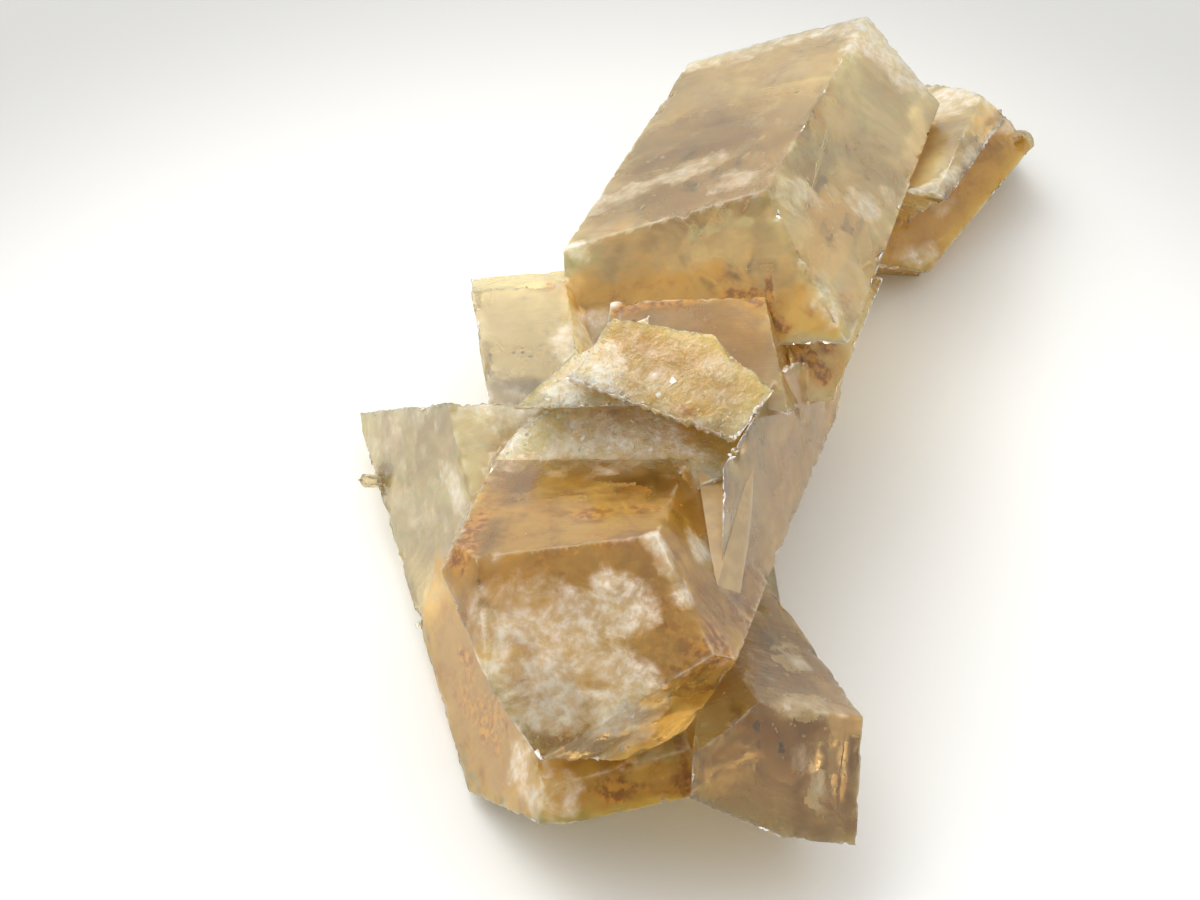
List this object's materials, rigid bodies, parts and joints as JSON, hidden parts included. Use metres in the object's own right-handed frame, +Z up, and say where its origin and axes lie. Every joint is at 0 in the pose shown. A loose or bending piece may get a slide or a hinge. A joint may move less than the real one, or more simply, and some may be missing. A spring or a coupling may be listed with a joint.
{
  "type": "smoky quartz cluster",
  "caption": "Cluster of stout, six-sided smoky quartz crystals grown together in one mass, cut flat underneath so it lies on a surface.",
  "frame": {"origin": "point on the flat cut underneath, below the middle of the cluster", "axes": "+Z up, out of the surface it lies on; +Y towards the large upper crystal, along the length of the cluster; +X to the right as seen in the picture"},
  "size_m": [0.081, 0.1195, 0.0357],
  "materials": {
    "smoky_quartz": "translucent, glossy crystal faces with milky veils and iron stains"
  },
  "bodies": {
    "root": {"quartz_cluster": "smoky_quartz"}
  },
  "joints": []
}
